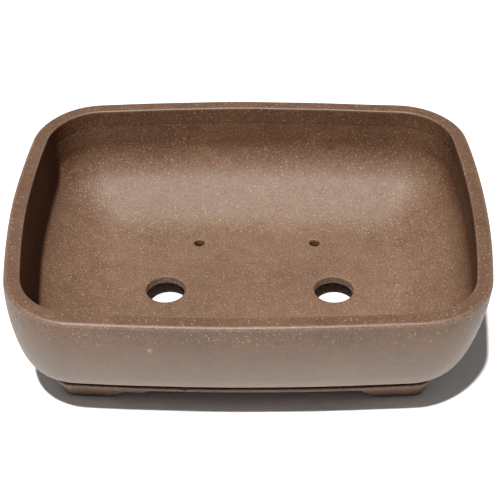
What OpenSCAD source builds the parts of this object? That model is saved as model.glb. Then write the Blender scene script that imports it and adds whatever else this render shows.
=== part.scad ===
// Unglazed stoneware bonsai pot, slab built: a dished floor slab, four wall slabs
// mitred at the corners, a lip strip round the mouth, a moulding strip round the base
// and four bracket feet.
// The origin is on the ground under the middle of the pot. +X runs along the length,
// -Y is the front and +Z is up.
//
// Every piece is a section swept round a plan outline of eight tangent arcs: two long
// sides, two short sides and four corners. A section is a list of [x, z] points, where
// x is 0 at the outer edge of the mouth and negative towards the middle. A third value
// of 1 marks a point whose outline has the tighter corners of the base.

/* [Plan] */
// Length of the mouth over its outer edges
rim_length = 280; // [260:1:320]
// Width of the mouth over its outer edges
rim_width = 222; // [210:1:240]
// Plan radius of the mouth's corners
corner_r = 44; // [43:1:50]
// How far each long side bows out
long_bow = 7.5; // [5:0.5:12]
// How far each short side bows out
short_bow = 11; // [8:0.5:14]

/* [Height and thickness] */
// Height from the ground to the top of the mouth
pot_height = 82.5; // [81:0.5:86]
// Thickness of the lip strip
lip_wall = 9.3; // [9:0.1:11]
// Height of the lip strip
lip_height = 11.5; // [8:0.5:14]
// Rounding of the lip's two upper edges
lip_round = 1.2; // [0.6:0.1:2]
// Distance from the outer edge of the mouth to the upright inner face of the wall
wall_inset = 8.8; // [8.4:0.1:9]
// Thickness of the floor slab
floor_wall = 5.4; // [4.6:0.1:6]

/* [Holes] */
// Diameter of the two drain holes
drain_d = 24; // [16:0.5:30]
// Distance between the drain holes' centres
drain_pitch = 103.8; // [80:0.2:120]
// Diameter of the four wire holes
wire_d = 6.4; // [4:0.2:8]
// Distance between the wire holes' centres along the length
wire_pitch_x = 74; // [60:1:90]
// Distance between the wire holes' centres across the width
wire_pitch_y = 92.6; // [80:0.2:96]
// How far the wire holes sit to the right of the middle
wire_shift = 4.3; // [-5:0.1:5]

/* [Base] */
// Height of the feet
foot_height = 10.9; // [9:0.1:11]
// Height of the base moulding
band_height = 2.5; // [2:0.1:2.8]
// How far the base moulding stands out from the neck above it
band_proud = 1.4; // [1:0.1:2]
// Depth of the rebate that the moulding sits in
band_rebate = 3; // [2:0.1:4]
// How much tighter the corners of the base are than those of the body above it
base_tight = 7; // [0:0.5:9]
// How far a foot's sole is set in from the foot's top
foot_taper = 4.3; // [2:0.1:5]
// Width of a foot's sole
foot_sole = 8.5; // [7:0.1:9]
// Distance from the middle of the pot to the flat sole of a long leg
long_leg_flat = 82; // [78:1:86]
// Distance from the middle of the pot to the flat sole of a short leg
short_leg_flat = 56; // [52:1:60]
// Width of the ogee curve beside each flat sole
ogee_width = 23; // [20:1:26]
// Distance from the middle of the pot to the end of a stepped leg
step_end = 54.5; // [50:0.5:56]
// Height of a stepped leg's low lobe
step_height = 4.2; // [3:0.1:5]

/* [Hidden] */

clay = [0.50, 0.37, 0.29];
clay_light = [0.56, 0.43, 0.34];
clay_dark = [0.42, 0.30, 0.24];

// Plan outline: the radius and centre of each side arc. A corner arc keeps at least
// least_r, or base_least_r in the base, so that deep corners stay round.
half_l = rim_length / 2;
half_w = rim_width / 2;
long_r = bow_radius(half_l, long_bow);
short_r = bow_radius(half_w, short_bow);
long_c = [0, half_w - long_r];
short_c = [half_l - short_r, 0];
least_r = 13;
base_least_r = 5;

// Stations round the outline: steps in half a short side, a corner and half a long side
side_steps = 7;
corner_steps = 14;
quarter = 2 * side_steps + corner_steps;
mitre = side_steps + corner_steps / 2;
all_round = 4 * quarter;

// Outer face of the wall: four tangent arcs, each with its radius and the angle below
// the horizontal of its outward normal at the top and at the bottom
wall_r = [154, 55, 14, 81];
wall_a = [0, 15.6, 26.2, 46, 58.8];
wall_steps = [5, 3, 5, 4];
neck = wall_c(3) + wall_r[3] * dir(-wall_a[4]);
lip_z = pot_height - lip_height;
lip_a = asin(lip_height / wall_r[0]);

// Inner face: upright, then a cove of three tangent arcs that dies into the floor. The
// floor slab turns up at its edge to meet the walls at a scarf joint in the cove.
floor_top = foot_height + floor_wall;
cove_r = 30;
cove_a = 52;
slope_r = 118;
slope_a = 64;
dish_r = 36;
scarf_a = 60;
cove_rise = (slope_r - dish_r) * sin(slope_a) - (slope_r - cove_r) * sin(cove_a);
cove_c = [-wall_inset - cove_r, floor_top + dish_r + cove_rise];
slope_c = cove_c - (slope_r - cove_r) * dir(-cove_a);
dish_c = slope_c + (slope_r - dish_r) * dir(-slope_a);
scarf = slope_c + slope_r * dir(-scarf_a);

// Base moulding and feet
band_top = foot_height + band_height;
band_x = neck.x + band_proud;
rebate_x = neck.x - band_rebate;
band_round = 0.9;
foot_x = band_x - 1;
foot_round = 1.5;
foot_lean = atan(foot_taper / foot_height);
foot_round_x = foot_x - foot_taper * (foot_height - foot_round) / foot_height
               - foot_round / cos(foot_lean);
sole_x = foot_x - foot_taper - foot_sole;
foot_draft = 1;
ogee_r = (ogee_width * ogee_width + foot_height * foot_height) / (4 * foot_height);
leg_tip = 3.5;
far = 200;

// Radius of an arc with a given half chord and height
function bow_radius(half, bow) = (half * half + bow * bow) / (2 * bow);

function dir(a) = [cos(a), sin(a)];

function angle_of(v) = atan2(v.y, v.x);

// Where two circles meet, on the side away from both circles' centres
function circles_meet(c1, r1, c2, r2) =
    let (apart = norm(c2 - c1), u = (c2 - c1) / apart)
    let (along = (r1 * r1 - r2 * r2 + apart * apart) / (2 * apart))
    c1 + along * u + sqrt(r1 * r1 - along * along) * [abs(u.y), abs(u.x)];

// Points of an arc about c from angle a to angle b, with its first point left out
function arc(c, r, a, b, n) = [for (i = [1:n]) c + r * dir(a + (b - a) * i / n)];

// Plan radius of the corners of the outline set in by d
function corner_radius(d, base) =
    base ? max(corner_r - base_tight - d, base_least_r) : max(corner_r - d, least_r);

// A quarter of the outline set in by d, from the middle of the right side to the back
function quarter_outline(d, base) =
    let (r = corner_radius(d, base))
    let (c = circles_meet(long_c, long_r - d - r, short_c, short_r - d - r))
    let (long_a = angle_of(c - long_c), short_a = angle_of(c - short_c))
    concat(
        [[half_l - d, 0]],
        arc(short_c, short_r - d, 0, short_a, side_steps),
        arc(c, r, short_a, long_a, corner_steps),
        arc(long_c, long_r - d, long_a, 90, side_steps)
    );

// The whole outline set in by d, counterclockwise from the middle of the right side
function outline(d, base) =
    let (q = quarter_outline(d, base))
    concat(
        [for (i = [0:quarter - 1]) q[i]],
        [for (i = [quarter:-1:1]) [-q[i].x, q[i].y]],
        [for (i = [0:quarter - 1]) -q[i]],
        [for (i = [quarter:-1:1]) [q[i].x, -q[i].y]]
    );

// Centre of the wall's arc number i
function wall_c(i) =
    i == 0 ? [-wall_r[0], pot_height]
           : wall_c(i - 1) + (wall_r[i - 1] - wall_r[i]) * dir(-wall_a[i]);

// Sections, each clockwise with its outer side first. The wall's has as many points on
// its inner side as on its outer side.
function wall_section() = concat(
    [wall_c(0) + wall_r[0] * dir(-lip_a)],
    arc(wall_c(0), wall_r[0], -lip_a, -wall_a[1], wall_steps[0]),
    [for (i = [1:3]) each arc(wall_c(i), wall_r[i], -wall_a[i], -wall_a[i + 1], wall_steps[i])],
    [scarf],
    arc(slope_c, slope_r, -scarf_a, -cove_a, 2),
    arc(cove_c, cove_r, -cove_a, 0, 14),
    [[-wall_inset, lip_z]]
);

function lip_section() =
    let (outer_c = [-lip_round, pot_height - lip_round])
    let (inner_c = [lip_round - lip_wall, pot_height - lip_round])
    concat(
        [[-lip_wall, lip_z], [-lip_wall, inner_c.y]],
        arc(inner_c, lip_round, 180, 90, 4),
        [[outer_c.x, pot_height]],
        arc(outer_c, lip_round, 90, 0, 4),
        arc(wall_c(0), wall_r[0], -lip_a / 3, -lip_a, 2)
    );

// The floor slab from the edge of its flat top, round its edge, to its underside
function floor_section() = concat(
    [[dish_c.x, floor_top]],
    arc(dish_c, dish_r, -90, -slope_a, 4),
    arc(slope_c, slope_r, -slope_a, -scarf_a, 1),
    [neck, [neck.x, band_top], [rebate_x, band_top], [rebate_x, foot_height]]
);

// The same points with the mark of the base's tighter corners
function in_base(section) = [for (p = section) [p.x, p.y, 1]];

function band_section() = concat(
    [[rebate_x, foot_height], [rebate_x, band_top]],
    in_base(concat(
        [[band_x - band_round, band_top]],
        arc([band_x - band_round, band_top - band_round], band_round, 90, 0, 4),
        [[band_x, foot_height]]
    ))
);

function foot_section() = concat(
    [[sole_x - foot_draft, foot_height], [foot_x, foot_height],
     [foot_round_x, foot_round] + foot_round * dir(-foot_lean)],
    arc([foot_round_x, foot_round], foot_round, -foot_lean, -90, 4),
    [[sole_x, 0]]
);

// Triangles that close the end of a section of n points: a strip between its two halves
function end_strip(n) = [for (j = [0:n / 2 - 2])
    each [[j, j + 1, n - 2 - j], [j, n - 2 - j, n - 1 - j]]];

// Solid swept by a section from one station to another. A closed section of an even
// number of points gets its ends closed; an open one goes all round and gets its top and
// its underside closed.
module sweep(section, from, to, closed = true) {
    n = len(section);
    loops = [for (p = section) outline(-p.x, p.z == 1)];
    ring = to - from == all_round;
    rows = ring ? all_round : to - from + 1;
    points = [for (k = [from:from + rows - 1], j = [0:n - 1])
        let (p = loops[j][(k + all_round) % all_round]) [p.x, p.y, section[j].y]];
    skin = [for (k = [0:to - from - 1], j = [0:closed ? n - 1 : n - 2])
        let (a = k * n, b = (k + 1) % rows * n, j2 = (j + 1) % n)
        each [[a + j, b + j, b + j2], [a + j, b + j2, a + j2]]];
    last = (rows - 1) * n;
    ends = closed ? [for (t = end_strip(n)) each [t, [last + t.z, last + t.y, last + t.x]]]
                  : [[for (k = [rows - 1:-1:0]) k * n], [for (k = [0:rows - 1]) k * n + n - 1]];
    polyhedron(points, concat(skin, ring && closed ? [] : ends), convexity = 8);
}

module floor_hole(diameter, x, y) {
    translate([x, y, foot_height - 1])
        cylinder(h = floor_wall + 2, d = diameter, $fn = 48);
}

module floor_slab() {
    color(clay_light)
        difference() {
            sweep(floor_section(), 0, all_round, closed = false);
            for (side = [-1, 1]) floor_hole(drain_d, side * drain_pitch / 2, 0);
            for (side = [-1, 1], end = [-1, 1])
                floor_hole(wire_d, wire_shift + side * wire_pitch_x / 2, end * wire_pitch_y / 2);
        }
}

module right_wall() {
    color(clay) sweep(wall_section(), -mitre, mitre);
}

module back_wall() {
    color(clay) sweep(wall_section(), mitre, 2 * quarter - mitre);
}

module left_wall() {
    color(clay) sweep(wall_section(), 2 * quarter - mitre, 2 * quarter + mitre);
}

module front_wall() {
    color(clay) sweep(wall_section(), 2 * quarter + mitre, all_round - mitre);
}

module rim_lip() {
    color(clay_light) sweep(lip_section(), 0, all_round);
}

module base_band() {
    color(clay_dark) sweep(band_section(), 0, all_round);
}

// Side view of a leg in [distance from the pot's middle, z]: full height beyond flat,
// and an S curve of two equal arcs that rises towards the middle
module leg_outline(flat) {
    half = ogee_width / 2;
    mid = foot_height / 2;
    translate([flat, 0]) square([far, foot_height]);
    translate([flat - half, mid]) square([half, mid]);
    intersection() {
        translate([flat, ogee_r]) circle(r = ogee_r, $fn = 96);
        translate([flat - half, 0]) square([half, mid]);
    }
    difference() {
        translate([flat - ogee_width + leg_tip, mid]) square([half - leg_tip, mid]);
        translate([flat - ogee_width, foot_height - ogee_r]) circle(r = ogee_r, $fn = 96);
    }
}

// The low lobe of a stepped leg, with a rounded end
module lobe_outline() {
    centre_x = step_end + step_height;
    translate([centre_x, foot_height - step_height])
        square([long_leg_flat - ogee_width / 2 - centre_x, step_height]);
    intersection() {
        translate([centre_x, foot_height]) circle(r = step_height, $fn = 48);
        translate([step_end, foot_height - step_height]) square(step_height);
    }
}

// The foot at the back right corner: an L in plan, cut to its outline from both sides
module foot(stepped) {
    intersection() {
        sweep(in_base(foot_section()), 1, quarter - 1);
        translate([0, far, 0]) rotate([90, 0, 0]) linear_extrude(far) {
            leg_outline(long_leg_flat);
            if (stepped) lobe_outline();
        }
        rotate([90, 0, 90]) linear_extrude(far) leg_outline(short_leg_flat);
    }
}

module foot_front_left() {
    color(clay_dark) mirror([1, 0, 0]) mirror([0, 1, 0]) foot(true);
}

module foot_front_right() {
    color(clay_dark) mirror([0, 1, 0]) foot(false);
}

module foot_back_left() {
    color(clay_dark) mirror([1, 0, 0]) foot(true);
}

module foot_back_right() {
    color(clay_dark) foot(false);
}

floor_slab();
front_wall();
back_wall();
left_wall();
right_wall();
rim_lip();
base_band();
foot_front_left();
foot_front_right();
foot_back_left();
foot_back_right();
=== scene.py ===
import math

import bmesh
import bpy
import numpy as np
from mathutils import Matrix, Vector
from mathutils.geometry import delaunay_2d_cdt


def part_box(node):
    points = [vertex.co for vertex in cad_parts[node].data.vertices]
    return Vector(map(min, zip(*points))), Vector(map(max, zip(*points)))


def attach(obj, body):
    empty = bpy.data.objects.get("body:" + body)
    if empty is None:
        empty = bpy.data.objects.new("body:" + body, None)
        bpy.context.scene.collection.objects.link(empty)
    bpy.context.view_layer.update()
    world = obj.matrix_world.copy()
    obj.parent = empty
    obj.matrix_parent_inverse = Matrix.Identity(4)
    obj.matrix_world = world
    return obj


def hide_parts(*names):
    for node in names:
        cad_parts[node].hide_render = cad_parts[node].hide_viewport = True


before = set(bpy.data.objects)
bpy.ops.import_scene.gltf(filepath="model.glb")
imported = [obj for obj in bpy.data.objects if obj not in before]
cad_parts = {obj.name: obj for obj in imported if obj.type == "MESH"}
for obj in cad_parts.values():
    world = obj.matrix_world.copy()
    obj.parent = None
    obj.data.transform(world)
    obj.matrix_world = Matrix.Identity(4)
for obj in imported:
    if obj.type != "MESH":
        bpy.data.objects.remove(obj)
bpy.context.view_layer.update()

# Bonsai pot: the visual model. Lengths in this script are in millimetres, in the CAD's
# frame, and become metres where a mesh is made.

MM = 0.001

# ---------------------------------------------------------------- sizes, as in the CAD

rim_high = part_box("rim_lip")[1] / MM
half_l = rim_high.x
half_w = rim_high.y
pot_height = rim_high.z
foot_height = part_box("base_band")[0].z / MM
band_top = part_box("base_band")[1].z / MM
lip_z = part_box("rim_lip")[0].z / MM

corner_r = 44
long_bow = 7.5
short_bow = 11
least_r = 13
base_tight = 7
base_least_r = 5

lip_wall = 9.3
lip_round = 2.1
lip_inner_round = 1.0
wall_inset = 8.8
floor_top = foot_height + 5.4

drain_r = 12
drain_x = 51.9
wire_r = 3.2
wire_x = 37
wire_y = 46.3
wire_shift = 4.3

wall_r = [154, 55, 14, 81]
wall_a = [0, 15.6, 26.2, 46, 58.8]
cove_r = 30
cove_a = 52
slope_r = 118
slope_a = 64
dish_r = 36
scarf_a = 60

band_proud = 1.4
band_rebate = 3
band_round = 0.9
foot_taper = 4.3
foot_sole = 8.5
foot_round = 1.5
foot_inner_round = 0.9
foot_draft = 1
long_leg_flat = 82
short_leg_flat = 56
ogee_width = 23
leg_tip = 3.5
step_end = 54.5
step_height = 4.2

section_step = 1.6
guard = 0.12


def bow_radius(half, bow):
    return (half * half + bow * bow) / (2 * bow)


long_r = bow_radius(half_l, long_bow)
short_r = bow_radius(half_w, short_bow)
long_c = np.array([0, half_w - long_r])
short_c = np.array([half_l - short_r, 0])


def turn(a):
    """The unit vector at angle a, in degrees."""
    return np.array([math.cos(math.radians(a)), math.sin(math.radians(a))])


def wall_c(i):
    """Centre of the wall's outer arc number i, in the section plane."""
    if i == 0:
        return np.array([-wall_r[0], pot_height])
    return wall_c(i - 1) + (wall_r[i - 1] - wall_r[i]) * turn(-wall_a[i])


neck = wall_c(3) + wall_r[3] * turn(-wall_a[4])
lip_a = math.degrees(math.asin((pot_height - lip_z) / wall_r[0]))
cove_rise = (slope_r - dish_r) * turn(slope_a)[1] - (slope_r - cove_r) * turn(cove_a)[1]
cove_c = np.array([-wall_inset - cove_r, floor_top + dish_r + cove_rise])
slope_c = cove_c - (slope_r - cove_r) * turn(-cove_a)
dish_c = slope_c + (slope_r - dish_r) * turn(-slope_a)
scarf = slope_c + slope_r * turn(-scarf_a)
band_x = neck[0] + band_proud
rebate_x = neck[0] - band_rebate
foot_x = band_x - 1
sole_x = foot_x - foot_taper - foot_sole
ogee_r = (ogee_width ** 2 + foot_height ** 2) / (4 * foot_height)

# ------------------------------------------------------------------------ plan outline
#
# A station is a number from 0 to 12 that goes counterclockwise round the pot from the
# middle of the right side: each quarter has a half short side, a corner and a half
# long side.


def quarter_points(inset, v, base):
    """Plan points of one quarter at v, 0 to 3, of the outline set in by inset."""
    if base:
        r = max(corner_r - base_tight - inset, base_least_r)
    else:
        r = max(corner_r - inset, least_r)
    r1, r2 = long_r - inset - r, short_r - inset - r
    gap = short_c - long_c
    apart = np.linalg.norm(gap)
    u = gap / apart
    along = (r1 * r1 - r2 * r2 + apart * apart) / (2 * apart)
    c = long_c + along * u + math.sqrt(r1 * r1 - along * along) * np.abs(u[::-1])
    long_a = math.atan2(*(c - long_c)[::-1])
    short_a = math.atan2(*(c - short_c)[::-1])
    parts = ((short_c, short_r - inset, 0, short_a),
             (c, r, short_a, long_a),
             (long_c, long_r - inset, long_a, math.pi / 2))
    out = np.zeros((len(v), 2))
    for i, (centre, radius, a, b) in enumerate(parts):
        here = (v >= i) & (v <= i + 1)
        angle = a + (b - a) * (v[here] - i)
        out[here] = centre + radius * np.stack([np.cos(angle), np.sin(angle)], 1)
    return out


def plan(inset, stations, base=False):
    """Plan points of the outline set in by inset, at stations. base says that it has
    the tighter corners of the base."""
    s = np.asarray(stations, float) % 12
    v = 3 - np.abs(s % 6 - 3)
    p = quarter_points(inset, v, base)
    p[:, 0] *= np.where((s > 3) & (s < 9), -1, 1)
    p[:, 1] *= np.where(s > 6, -1, 1)
    return p


def stations_between(first, last, counts=(26, 30, 36)):
    """Stations from first to last: each whole piece of outline in counts steps."""
    marks = []
    for k in range(math.floor(first), math.ceil(last)):
        kind = (0, 1, 2, 2, 1, 0)[k % 6]
        marks += [k + i / counts[kind] for i in range(counts[kind])]
    marks = [m for m in marks if first + 1e-3 < m < last - 1e-3]
    return np.array([first, *marks, last])


def guarded(marks, nearness=0.002):
    """The same marks with one more close to each end, which keeps the shading true."""
    marks = list(marks)
    return np.array([marks[0], marks[0] + nearness, *marks[1:-1], marks[-1] - nearness, marks[-1]])


# ------------------------------------------------------------------------ hand work
#
# Slow waves left by hand pressing, the same function of place for every piece, so
# that the pieces stay in touch. lean is 1 on the outer body and 0 inside.

WAVES = ((0.16, (0.031, 0.017, 0.022), (1.0, 0.2, 0.0), 0.4),
         (0.14, (0.014, 0.043, 0.030), (0.0, 1.0, 0.0), 2.1),
         (0.12, (0.057, 0.011, 0.045), (0.8, 0.5, 0.0), 4.0),
         (0.09, (0.021, 0.066, 0.012), (0.3, 0.9, 0.0), 1.3),
         (0.07, (0.110, 0.083, 0.101), (0.7, 0.7, 0.0), 5.2))
RIM_WAVES = ((0.20, 0.024, 0.011, 0.7), (0.12, 0.051, 0.046, 2.9), (0.06, 0.113, 0.097, 4.4))
LEAN = -0.054
LEAN_DEPTH = 54
GROUND_CALM = 14


def smooth(t):
    t = np.clip(t, 0, 1)
    return t * t * (3 - 2 * t)


def worked(points, lean):
    """Points moved by the slow waves and by the lean of the outer body, in mm."""
    p = np.asarray(points, float)
    out = p.copy()
    calm = smooth((p[:, 2] - floor_top) / GROUND_CALM)
    for size, k, way, phase in WAVES:
        out += (size * calm * np.sin(p @ np.array(k) + phase))[:, None] * np.array(way)
    top = smooth((p[:, 2] - lip_z + 20) / 20)
    for size, kx, ky, phase in RIM_WAVES:
        out[:, 2] += size * top * np.sin(kx * p[:, 0] + ky * p[:, 1] + phase)
    out[:, 0] += LEAN * lean * np.clip(pot_height - p[:, 2], 0, LEAN_DEPTH)
    return out


# ------------------------------------------------------------------------ mesh making


def add_piece(name, points, faces, materials, node, sharp=35, inner=None):
    """A mesh piece that stands for one CAD node, from points in mm. inner says which
    faces take the second material."""
    mesh = bpy.data.meshes.new(name)
    mesh.from_pydata((np.asarray(points) * MM).tolist(), [], faces)
    for material in materials:
        mesh.materials.append(material)
    if inner is not None:
        mesh.polygons.foreach_set("material_index", np.asarray(inner, np.int32))
    mesh.validate()
    mesh.shade_smooth()
    mesh.set_sharp_from_angle(angle=math.radians(sharp))
    piece = bpy.data.objects.new(name, mesh)
    bpy.context.scene.collection.objects.link(piece)
    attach(piece, "root")
    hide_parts(node)
    return piece


def arc(centre, radius, a, b, step=section_step, least=2):
    """Points of an arc from angle a to angle b, with its first point left out."""
    n = max(least, math.ceil(abs(math.radians(b - a)) * radius / step))
    return [np.array(centre) + radius * turn(a + (b - a) * i / n) for i in range(1, n + 1)]


def near_ends(points, distance=guard):
    """The same chain of points with one more close to each end."""
    def near(a, b):
        return a + (b - a) * distance / np.linalg.norm(b - a)
    return [points[0], near(points[0], points[1]), *points[1:-1],
            near(points[-1], points[-2]), points[-1]]


def straight(a, b, n):
    """n points from a to b, with a left out."""
    a, b = np.array(a, float), np.array(b, float)
    return [a + (b - a) * i / n for i in range(1, n + 1)]


def loops(section, stations, base=None):
    """3-D points of a section of (x, z) at stations: one row a station. base says which
    points have the tighter corners of the base."""
    base = base or [False] * len(section)
    columns = [plan(-x, stations, low) for (x, _), low in zip(section, base)]
    rows = np.stack(columns, 1)
    z = np.broadcast_to(np.array([z for _, z in section]), rows.shape[:2])
    return np.dstack([rows, z])


def skin(rows, n, ring, closed):
    """Quads of a grid of rows stations by n section points, with their outer sides out."""
    faces = []
    for k in range(rows if ring else rows - 1):
        a, b = k * n, (k + 1) % rows * n
        for j in range(n if closed else n - 1):
            j2 = (j + 1) % n
            faces.append((a + j, a + j2, b + j2, b + j))
    return faces


def end_faces(rows, n):
    """The two faces that close the first and the last row of n points."""
    return [tuple(reversed(range(n))), tuple(range((rows - 1) * n, rows * n))]


def swept(section, lean, stations, ring, base=None):
    """Points and faces of a closed section swept round the outline."""
    if ring:
        stations = stations[:-1]
    grid = loops(section, stations, base)
    rows, n = grid.shape[:2]
    faces = skin(rows, n, ring, True)
    if not ring:
        faces += end_faces(rows, n)
    points = worked(grid.reshape(-1, 3), np.tile(lean, rows))
    return points, faces


ALL_ROUND = stations_between(0, 12)

# ------------------------------------------------------------------------ materials


class Nodes:
    """A small helper to write a node tree as one line a node."""

    def __init__(self, tree):
        self.tree = tree

    def add(self, kind, inputs=(), **settings):
        node = self.tree.nodes.new(kind)
        for key, value in settings.items():
            setattr(node, key, value)
        for key, value in dict(inputs).items():
            if isinstance(value, bpy.types.NodeSocket):
                self.tree.links.new(value, node.inputs[key])
            else:
                node.inputs[key].default_value = value
        return node

    def math(self, operation, a, b=0.0, c=0.0):
        return self.add("ShaderNodeMath", {0: a, 1: b, 2: c}, operation=operation).outputs[0]

    def mix(self, factor, a, b, blend="MIX"):
        node = self.add("ShaderNodeMix", {0: factor, 6: a, 7: b}, data_type="RGBA", blend_type=blend)
        return node.outputs[2]

    def remap(self, value, low, high, to_low=0.0, to_high=1.0, smoothly=False):
        node = self.add("ShaderNodeMapRange", {0: value, 1: low, 2: high, 3: to_low, 4: to_high})
        if smoothly:
            node.interpolation_type = "SMOOTHSTEP"
        return node.outputs[0]

    def noise(self, where, scale, detail=3.0, roughness=0.5):
        node = self.add("ShaderNodeTexNoise", {"Vector": where, "Scale": scale, "Detail": detail,
                                               "Roughness": roughness})
        return node.outputs["Fac"]


def grains(n, where, per_mm, share, radius, seed):
    """Mask of sand grains: one in some cells of per_mm cells a mm, of about that radius."""
    moved = n.add("ShaderNodeMapping", {"Vector": where, "Location": (seed, seed * 1.7, -seed)})
    cells = n.add("ShaderNodeTexVoronoi", {"Vector": moved.outputs[0], "Scale": per_mm,
                                           "Randomness": 1.0})
    pick = n.add("ShaderNodeSeparateColor", {0: cells.outputs["Color"]})
    chosen = n.math("LESS_THAN", pick.outputs[0], share)
    size = n.remap(pick.outputs[1], 0, 1, 0.45 * radius * per_mm, radius * per_mm)
    inside = n.math("SUBTRACT", size, cells.outputs["Distance"])
    soft = n.remap(inside, 0, 0.12 * radius * per_mm + 0.02, smoothly=True)
    return n.math("MULTIPLY", soft, chosen), pick.outputs[2]


def stoneware(name, tone, sand, roughness, relief, seed, painted_sheen=0.0, contrast=1.0, marks=False):
    """Unglazed speckled stoneware. sand is how much of it shows at the surface, contrast
    how strong the fine mottling is, painted_sheen how much paler and greyer the clay is
    painted towards the foot of the wall, a painted reflection of the pale floor, and marks
    whether it has the small marks of handling."""
    material = bpy.data.materials.new(name)
    material.use_nodes = True
    n = Nodes(material.node_tree)
    shader = material.node_tree.nodes["Principled BSDF"]
    place = n.add("ShaderNodeTexCoord").outputs["Object"]
    where = n.add("ShaderNodeVectorMath", {0: place, "Scale": 1 / MM}, operation="SCALE").outputs[0]

    cloud = n.noise(where, 0.018, 3, 0.55)
    patch = n.noise(where, 0.11, 3, 0.6)
    fine = n.noise(where, 0.80, 3, 0.75)
    dark = [c * 0.84 for c in tone] + [1]
    light = [min(1, c * 1.13) for c in tone] + [1]
    level = n.math("ADD", n.math("MULTIPLY", cloud, 0.55), n.math("MULTIPLY", patch, 0.45))
    spots = []
    calm = 1.0
    colour = n.mix(n.remap(level, 0.34, 0.66), dark, light)
    if marks:
        for at, radii, shade, strength in WALL_MARKS:
            away = n.add("ShaderNodeVectorMath", {0: where, 1: at}, operation="SUBTRACT").outputs[0]
            away = n.add("ShaderNodeVectorMath", {0: away, 1: radii}, operation="DIVIDE").outputs[0]
            far = n.add("ShaderNodeVectorMath", {0: away}, operation="LENGTH").outputs["Value"]
            rubbed = n.math("MULTIPLY", n.remap(far, 1.0, 0.2, smoothly=True), strength)
            spots.append((n.math("MULTIPLY", rubbed, n.remap(fine, 0.35, 0.6)), shade))
    # Painted sheen: the clay is painted paler and greyer down the wall, a painted reflection of the pale
    # floor. The speckle also fades below the lip.
    if painted_sheen:
        up = n.add("ShaderNodeSeparateXYZ", {0: where}).outputs[2]
        low = n.remap(up, 77, 18, 0, painted_sheen)
        low = n.math("MULTIPLY", low, n.remap(patch, 0.2, 0.8, 0.75, 1.25))
        calm = n.remap(n.math("ADD", up, n.math("MULTIPLY", patch, 8)), 79, 64, 1, 0.12, smoothly=True)
        colour = n.mix(low, colour, PAINTED_SHEEN_TONE)
    speckle = n.remap(fine, 0.3, 0.7, 1 - 0.36 * contrast, 1 + 0.32 * contrast)
    if painted_sheen:
        speckle = n.math("MULTIPLY_ADD", n.math("SUBTRACT", speckle, 1.0),
                         n.math("MAXIMUM", calm, 0.45), 1.0)
    shade = n.add("ShaderNodeCombineColor", {0: speckle, 1: speckle, 2: speckle}).outputs[0]
    colour = n.mix(1.0, colour, shade, "MULTIPLY")

    sand_mask, sand_pick = grains(n, where, 0.66, 0.72 * sand, 0.50, seed)
    dust_mask, dust_pick = grains(n, where, 1.05, 0.75 * sand, 0.36, seed + 5)
    grog_mask, _ = grains(n, where, 0.62, 0.30 * contrast, 0.38, seed + 9)
    sand_mask = n.math("MULTIPLY", sand_mask, calm)
    dust_mask = n.math("MULTIPLY", dust_mask, calm)
    pale = n.mix(sand_pick, (0.25, 0.152, 0.085, 1), (0.45, 0.32, 0.20, 1))
    ochre = n.mix(dust_pick, (0.20, 0.122, 0.072, 1), (0.33, 0.215, 0.135, 1))
    colour = n.mix(n.math("MULTIPLY", dust_mask, 0.66), colour, ochre)
    colour = n.mix(n.math("MULTIPLY", sand_mask, 0.80), colour, pale)
    colour = n.mix(n.math("MULTIPLY", grog_mask, 0.60), colour, (0.036, 0.022, 0.016, 1))

    for mask, shade in spots:
        colour = n.mix(mask, colour, shade)

    rough = n.remap(patch, 0.3, 0.7, roughness - 0.05, roughness + 0.05)
    rough = n.math("ADD", rough, n.math("MULTIPLY", sand_mask, 0.08))

    height = n.math("MULTIPLY", fine, 0.05)
    height = n.math("ADD", height, n.math("MULTIPLY", sand_mask, 0.045))
    height = n.math("ADD", height, n.math("MULTIPLY", dust_mask, 0.02))
    height = n.math("SUBTRACT", height, n.math("MULTIPLY", grog_mask, 0.05))
    height = n.math("ADD", height, n.math("MULTIPLY", n.noise(where, 0.22, 2), 0.12))
    bump = n.add("ShaderNodeBump", {"Height": height, "Strength": relief, "Distance": MM})

    material.node_tree.links.new(colour, shader.inputs["Base Color"])
    material.node_tree.links.new(rough, shader.inputs["Roughness"])
    material.node_tree.links.new(bump.outputs[0], shader.inputs["Normal"])
    shader.inputs["IOR"].default_value = 1.5
    shader.inputs["Specular IOR Level"].default_value = 0.5
    return material


# Colour of the painted sheen at the foot of the outer wall, a painted reflection of the pale floor.
PAINTED_SHEEN_TONE = (0.285, 0.245, 0.215, 1)
WALL_MARKS = (((-53, -109, 65), (2.6, 2.6, 2.6), (0.36, 0.31, 0.26, 1), 0.55),
              ((93, -105, 56), (3.4, 3.4, 0.9), (0.06, 0.045, 0.035, 1), 0.5))
# The outer wall is painted paler and greyer towards its foot, a painted sheen of 0.50.
outside = stoneware("stoneware outside", (0.117, 0.071, 0.047), 0.55, 0.50, 0.6, 0, 0.50, 0.80, True)
lip_clay = stoneware("stoneware lip", (0.122, 0.072, 0.049), 0.45, 0.50, 0.7, 71, 0, 0.8)
# Paler clay on the lip's rounded arrises: a painted highlight along the edges.
edge_highlight_clay = stoneware("stoneware edge painted highlight", (0.150, 0.094, 0.069), 0.4, 0.50, 0.7, 17)
inside = stoneware("stoneware inside", (0.151, 0.0905, 0.062), 1.0, 0.62, 0.9, 31)
base_clay = stoneware("stoneware base", (0.165, 0.116, 0.093), 0.4, 0.6, 0.8, 57, 0, 0.7)

# ------------------------------------------------------------------------ the walls


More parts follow.
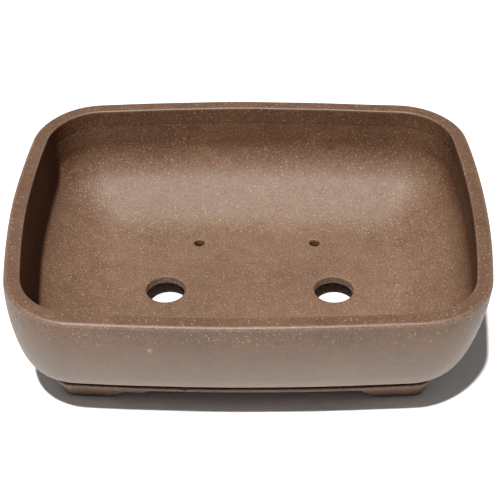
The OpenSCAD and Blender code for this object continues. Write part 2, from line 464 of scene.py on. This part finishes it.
def wall_section():
    """The wall's section in mm, clockwise from the lip joint, with its lean."""
    outer = [wall_c(0) + wall_r[0] * turn(-lip_a), *arc(wall_c(0), wall_r[0], -lip_a, -wall_a[1])]
    for i in (1, 2, 3):
        outer += arc(wall_c(i), wall_r[i], -wall_a[i], -wall_a[i + 1])
    inner = [scarf, *arc(slope_c, slope_r, -scarf_a, -cove_a), *arc(cove_c, cove_r, -cove_a, 0),
             *straight((-wall_inset, cove_c[1]), (-wall_inset, lip_z), 16)]
    outer, inner = near_ends(outer), near_ends(inner)
    section = outer + straight(neck, scarf, 3)[:-1] + inner
    lean = [1.0] * len(outer) + [2 / 3, 1 / 3] + [0.0] * len(inner)
    bowl_side = [0] * (len(outer) + 2) + [1] * (len(inner) - 1) + [0]
    return section, lean, bowl_side


def build_walls():
    section, lean, bowl_side = wall_section()
    for name, first, last in (("right_wall", -1.5, 1.5), ("back_wall", 1.5, 4.5),
                              ("left_wall", 4.5, 7.5), ("front_wall", 7.5, 10.5)):
        marks = guarded(stations_between(first, last))
        points, faces = swept(section, lean, marks, False)
        inner = bowl_side * (len(marks) - 1) + [0, 0]
        add_piece("pot_" + name, points, faces, (outside, inside), name, inner=inner)


# ------------------------------------------------------------------------ the lip


def build_lip():
    outer_c = np.array([-lip_round, pot_height - lip_round])
    inner_c = np.array([lip_inner_round - lip_wall, pot_height - lip_inner_round])
    outer_side = [outer_c + [lip_round, 0], *arc(wall_c(0), wall_r[0], -lip_a / 8, -lip_a)]
    section = [np.array([-wall_inset, lip_z]), np.array([-wall_inset - 0.02, lip_z + 0.12]),
               *straight((-wall_inset - 0.02, lip_z + 0.12), inner_c + [-lip_inner_round, 0], 8),
               *arc(inner_c, lip_inner_round, 180, 90, 0.25),
               *straight(inner_c + [0, lip_inner_round], outer_c + [0, lip_round], 6),
               *arc(outer_c, lip_round, 90, 0, 0.25),
               *near_ends(outer_side)[1:]]
    section += straight(section[-1], section[0], 4)[:-1]
    lean = [1.0 if x > -2 else 0.0 for x, _ in section]
    points, faces = swept(section, lean, ALL_ROUND, True)
    clays = []
    for (x, z), (x2, z2) in zip(section, section[1:] + section[:1]):
        # The lip's rounded arrises take the paler clay of the painted edge highlight.
        rounded = abs(x - x2) > 0.01 and abs(z - z2) > 0.01 and min(z, z2) > pot_height - lip_round - 0.1
        if rounded:
            clays.append(2)
        elif (x + x2) / 2 < -wall_inset + 1 and z > lip_z:
            clays.append(1)
        else:
            clays.append(3 if min(x, x2) > -lip_round else 0)
    add_piece("pot_rim_lip", points, faces, (lip_clay, inside, edge_highlight_clay, outside), "rim_lip",
              inner=clays * (len(ALL_ROUND) - 1))


# ------------------------------------------------------------------------ the floor


def hole_list():
    holes = [(np.array([s * drain_x, 0.0]), drain_r, 88) for s in (-1, 1)]
    for sx in (-1, 1):
        for sy in (-1, 1):
            holes.append((np.array([wire_shift + sx * wire_x, sy * wire_y]), wire_r, 32))
    return holes


def circle(centre, radius, n):
    a = np.arange(n) * 2 * math.pi / n
    return centre + radius * np.stack([np.cos(a), np.sin(a)], 1)


def filled(edge, rings, spacing, holes):
    """Triangles of the flat area inside edge and outside rings, with points between."""
    fixed = [edge, *rings]
    coords = np.concatenate(fixed)
    edges, start = [], 0
    for ring in fixed:
        k = len(ring)
        edges += [(start + i, start + (i + 1) % k) for i in range(k)]
        start += k
    reach = np.abs(edge).max(0)
    grid = []
    for j, y in enumerate(np.arange(-reach[1], reach[1], spacing * 0.866)):
        for x in np.arange(-reach[0], reach[0], spacing):
            grid.append((x + (j % 2) * spacing / 2, y))
    grid = np.array(grid)
    far_off = np.linalg.norm(grid[:, None] - coords[None], axis=2).min(1) > spacing * 0.6
    clear = np.all([np.linalg.norm(grid - c, axis=1) > r for c, r, _ in holes], axis=0)
    grid = grid[far_off & clear & within(grid, edge)]
    coords = np.concatenate([coords, grid])
    result = delaunay_2d_cdt([Vector(c) for c in coords], edges, [], 0, 1e-4)
    flat = np.array([tuple(v) for v in result[0]])
    faces = []
    for f in result[2]:
        centre = flat[list(f)].mean(0)[None]
        in_hole = any(np.linalg.norm(centre[0] - c) < r for c, r, _ in holes)
        if not in_hole and within(centre, edge)[0]:
            faces.append(tuple(f))
    return flat, faces


def within(points, edge):
    """Whether each point is inside the closed outline edge."""
    a, b = edge, np.roll(edge, -1, axis=0)
    x, y = points[:, 0:1], points[:, 1:2]
    crosses = (a[:, 1] > y) != (b[:, 1] > y)
    with np.errstate(divide="ignore", invalid="ignore"):
        at = a[:, 0] + (y - a[:, 1]) / (b[:, 1] - a[:, 1]) * (b[:, 0] - a[:, 0])
    return (crosses & (x < at)).sum(1) % 2 == 1


HOLE_ROUND = 0.9


def build_floor():
    stations = ALL_ROUND[:-1]
    rim = [np.array([dish_c[0], floor_top]), *arc(dish_c, dish_r, -90, -slope_a, 1.0),
           *arc(slope_c, slope_r, -slope_a, -scarf_a)]
    section = [*near_ends(rim), *straight(scarf, neck, 3),
               np.array([neck[0], band_top]), np.array([rebate_x, band_top]),
               np.array([rebate_x, foot_height])]
    n_rim = len(rim) + 2
    lean = [0.0] * n_rim + [1 / 3, 2 / 3, 1, 1, 1, 1]
    grid = loops(section, stations)
    rows, n = grid.shape[:2]
    points = [grid.reshape(-1, 3)]
    leans = [np.tile(lean, rows)]
    faces = skin(rows, n, True, False)
    holes = hole_list()
    rings = {}
    for side, column, z in (("top", 0, floor_top), ("under", n - 1, foot_height)):
        edge = grid[:, column, :2]
        round_edge = [circle(c, r + HOLE_ROUND, k) for c, r, k in holes]
        flat, made = filled(edge, round_edge, 3.4, [(c, r + HOLE_ROUND, k) for c, r, k in holes])
        start = sum(len(p) for p in points)
        index = np.arange(len(flat)) + start
        index[:rows] = np.arange(rows) * n + column
        points.append(np.column_stack([flat, np.full(len(flat), z)]))
        depth = np.linalg.norm(flat[:, None] - edge[None, ::4], axis=2).min(1)
        leans.append((1 - smooth((depth - 11) / 20)) if side == "under" else np.zeros(len(flat)))
        for f in made:
            f = [int(index[i]) for i in f]
            faces.append(tuple(f) if side == "top" else tuple(reversed(f)))
        rings[side] = index, len(edge)
    start = sum(len(p) for p in points)
    offset = rows
    for c, r, k in holes:
        ring_top = rings["top"][0][offset:offset + k]
        ring_under = rings["under"][0][offset:offset + k]
        offset += k
        chain = [(r + HOLE_ROUND * (1 - math.sin(a)), floor_top - HOLE_ROUND * (1 - math.cos(a)))
                 for a in np.radians((22, 45, 67, 90))]
        chain += [(r, foot_height + t * (floor_top - foot_height)) for t in (0.62, 0.42)]
        chain += [(r + HOLE_ROUND * (1 - math.sin(a)), foot_height + HOLE_ROUND * (1 - math.cos(a)))
                  for a in np.radians((90, 67, 45, 22))]
        levels = [list(ring_top)]
        for radius, z in chain:
            points.append(np.column_stack([circle(c, radius, k), np.full(k, z)]))
            leans.append(np.zeros(k))
            levels.append(list(range(start, start + k)))
            start += k
        levels.append(list(ring_under))
        for upper, lower in zip(levels, levels[1:]):
            for i in range(k):
                i2 = (i + 1) % k
                faces.append((int(upper[i]), int(lower[i]), int(lower[i2]), int(upper[i2]))[::-1])
    points = worked(np.concatenate(points), np.concatenate(leans))
    piece = add_piece("pot_floor_slab", points, faces, (inside,), "floor_slab")
    drop_loose(piece)


def drop_loose(piece):
    """Takes out points that no face uses."""
    work = bmesh.new()
    work.from_mesh(piece.data)
    bmesh.ops.delete(work, geom=[v for v in work.verts if not v.link_faces], context="VERTS")
    bmesh.ops.recalc_face_normals(work, faces=work.faces)
    work.to_mesh(piece.data)
    work.free()
    piece.data.shade_smooth()
    piece.data.set_sharp_from_angle(angle=math.radians(35))


# ------------------------------------------------------------------------ the base


def build_band():
    low_round = 0.5
    section = [np.array([rebate_x, foot_height]), np.array([rebate_x, band_top]),
               *straight((rebate_x, band_top), (band_x - band_round, band_top), 4),
               *arc((band_x - band_round, band_top - band_round), band_round, 90, 0, 0.25),
               *arc((band_x - low_round, foot_height + low_round), low_round, 0, -90, 0.25)]
    section += straight(section[-1], section[0], 4)[:-1]
    marks = stations_between(0, 12, (90, 90, 130))
    base = [x > rebate_x + 0.01 for x, _ in section]
    points, faces = swept(section, [1.0] * len(section), marks, True, base)
    nick = np.array([-37.0, plan(-band_x, [8.7], True)[0][1], band_top])
    near = np.exp(-np.sum(((points - nick) / (1.6, 1.2, 1.2)) ** 2, axis=1))
    points[:, 2] -= 0.9 * near
    points[:, 1] += 0.5 * near
    add_piece("pot_base_band", points, faces, (base_clay,), "base_band")


def leg_cut(distance, flat):
    """Height of a leg's underside at a distance from the pot's middle."""
    d = flat - np.asarray(distance, float)
    low = ogee_r - np.sqrt(np.maximum(ogee_r ** 2 - np.clip(d, 0, ogee_width / 2) ** 2, 0))
    up = np.clip(ogee_width - d, 0, ogee_width / 2)
    high = foot_height - ogee_r + np.sqrt(np.maximum(ogee_r ** 2 - up ** 2, 0))
    return np.where(d <= 0, 0, np.where(d <= ogee_width / 2, low, high))


def lobe_cut(distance):
    """Height of the underside of a stepped leg's low lobe."""
    c = step_end + step_height
    t = np.clip(c - np.asarray(distance, float), 0, step_height)
    return foot_height - np.sqrt(np.maximum(step_height ** 2 - t ** 2, 0))


def foot_rows(stepped):
    """Rows of section points, one a station, of the foot at the back right corner."""
    first = station_at(1, short_leg_flat - ogee_width + leg_tip)
    last = station_at(0, step_end if stepped else long_leg_flat - ogee_width + leg_tip)
    marks = np.concatenate([np.linspace(first, 1, 34, endpoint=False),
                            np.linspace(1, 2, 24, endpoint=False), np.linspace(2, last, 60)])
    middle = plan(-(foot_x + sole_x) / 2, marks, True)
    long_cut = leg_cut(middle[:, 0], long_leg_flat)
    if stepped:
        long_cut = np.minimum(long_cut, lobe_cut(middle[:, 0]))
    cut = np.maximum(long_cut, leg_cut(middle[:, 1], short_leg_flat))
    rows = []
    for mark, low in zip(marks, np.minimum(cut, foot_height - 0.35)):
        rows.append(foot_row(mark, low))
    return np.array(rows)


def foot_row(mark, low):
    tall = foot_height - low
    r_out = min(foot_round, 0.4 * tall)
    r_in = min(foot_inner_round, 0.3 * tall)
    slope = foot_taper / foot_height
    x_low = foot_x - slope * (tall - r_out) - r_out
    outer = straight((foot_x, foot_height), (foot_x - slope * (tall - r_out), low + r_out), 7)
    section = [np.array([foot_x, foot_height]), *outer]
    section += [np.array([x_low, low + r_out]) + r_out * turn(-a) for a in (18, 36, 54, 72, 90)]
    x_in = sole_x - foot_draft * low / foot_height
    section += straight(section[-1], (x_in + r_in, low), 4)
    section += [np.array([x_in + r_in, low + r_in]) + r_in * turn(-90 - a) for a in (30, 60, 90)]
    section += straight(section[-1], (sole_x - foot_draft, foot_height), 4)
    section += straight(section[-1], section[0], 4)[:-1]
    return loops(section, np.array([mark]), [True] * len(section))[0]


def station_at(axis, value):
    """The station in the back right quarter where the foot's plan point has that x or y."""
    marks = np.linspace(0, 1, 400) if axis == 1 else np.linspace(2, 3, 400)
    line = plan(-(foot_x + sole_x) / 2, marks, True)[:, axis]
    order = np.argsort(line)
    return float(np.interp(value, line[order], marks[order]))


def build_feet():
    for name, sx, sy, stepped in (("foot_front_left", -1, -1, True), ("foot_front_right", 1, -1, False),
                                  ("foot_back_left", -1, 1, True), ("foot_back_right", 1, 1, False)):
        grid = foot_rows(stepped)
        rows, n = grid.shape[:2]
        faces = skin(rows, n, False, True)
        faces += end_faces(rows, n)
        points = grid.reshape(-1, 3) * (sx, sy, 1)
        if sx * sy < 0:
            faces = [tuple(reversed(f)) for f in faces]
        points = worked(points, np.ones(len(points)))
        add_piece("pot_" + name, points, faces, (base_clay,), name)


build_walls()
build_lip()
build_floor()
build_band()
build_feet()

# ------------------------------------------------------------------------ the stage


def build_ground():
    """A plain pale floor, a little finer near the pot."""
    size, n = 9000, 24
    marks = [size * (abs(t) ** 2.2) * (1 if t > 0 else -1) for t in np.linspace(-1, 1, n + 1)]
    points = [(x, y, 0) for y in marks for x in marks]
    faces = [(j * (n + 1) + i, j * (n + 1) + i + 1, (j + 1) * (n + 1) + i + 1, (j + 1) * (n + 1) + i)
             for j in range(n) for i in range(n)]
    mesh = bpy.data.meshes.new("ground")
    mesh.from_pydata((np.array(points) * MM).tolist(), [], faces)
    ground = bpy.data.objects.new("ground", mesh)
    bpy.context.scene.collection.objects.link(ground)
    material = bpy.data.materials.new("pale floor")
    material.use_nodes = True
    n_ = Nodes(material.node_tree)
    shader = material.node_tree.nodes["Principled BSDF"]
    place = n_.add("ShaderNodeTexCoord").outputs["Object"]
    faint = n_.noise(place, 6.0, 2)
    material.node_tree.links.new(n_.mix(faint, (0.90, 0.90, 0.90, 1), (0.92, 0.92, 0.92, 1)),
                                 shader.inputs["Base Color"])
    shader.inputs["Roughness"].default_value = 0.9
    shader.inputs["Specular IOR Level"].default_value = 0.1
    mesh.materials.append(material)


KEY_FROM = Vector((-0.11, -0.36, 1.0))
KEY_STRENGTH = 5.3
KEY_SOFTNESS = 2.5
FILL_STRENGTH = 0.175


def build_light():
    lamp = bpy.data.lights.new("key", "SUN")
    lamp.energy = KEY_STRENGTH
    lamp.angle = math.radians(KEY_SOFTNESS)
    lamp.color = (1.0, 0.985, 0.955)
    key = bpy.data.objects.new("key", lamp)
    key.rotation_mode = "QUATERNION"
    key.rotation_quaternion = KEY_FROM.to_track_quat("Z", "Y")
    bpy.context.scene.collection.objects.link(key)
    world = bpy.data.worlds.new("studio")
    world.use_nodes = True
    n = Nodes(world.node_tree)
    background = world.node_tree.nodes["Background"]
    seen = n.add("ShaderNodeLightPath").outputs["Is Camera Ray"]
    strength = n.remap(seen, 0, 1, FILL_STRENGTH, 1.0)
    world.node_tree.links.new(strength, background.inputs["Strength"])
    background.inputs["Color"].default_value = (0.91, 0.96, 1.0, 1)
    bpy.context.scene.world = world


CAMERA_AT = Vector((0.00766, -0.6854, 0.5944))
CAMERA_YAW = -0.0107
CAMERA_PITCH = 0.6737
CAMERA_ROLL = -0.0063
CAMERA_LENS = 104.41


def build_camera():
    data = bpy.data.cameras.new("camera")
    data.sensor_width = 36
    data.lens = CAMERA_LENS
    data.clip_start, data.clip_end = 0.01, 100
    camera = bpy.data.objects.new("camera", data)
    bpy.context.scene.collection.objects.link(camera)
    ahead = Vector((math.sin(CAMERA_YAW) * math.cos(CAMERA_PITCH),
                    math.cos(CAMERA_YAW) * math.cos(CAMERA_PITCH), -math.sin(CAMERA_PITCH)))
    right = Vector((math.cos(CAMERA_YAW), -math.sin(CAMERA_YAW), 0))
    up = right.cross(ahead)
    c, s = math.cos(CAMERA_ROLL), math.sin(CAMERA_ROLL)
    axes = Matrix((c * right + s * up, c * up - s * right, -ahead)).transposed()
    camera.matrix_world = Matrix.Translation(CAMERA_AT) @ axes.to_4x4()
    bpy.context.scene.camera = camera


build_ground()
build_light()
build_camera()


def set_view():
    """Plain colours with a slightly deeper toe, as a camera's own curve has."""
    settings = bpy.context.scene.view_settings
    settings.view_transform = "Standard"
    settings.use_curve_mapping = True
    curve = settings.curve_mapping.curves[3]
    for value, shown in TOE:
        curve.points.new(value, shown)
    settings.curve_mapping.update()


TOE = ((0.02, 0.008), (0.06, 0.042), (0.12, 0.108), (0.28, 0.29), (0.6, 0.61))
set_view()
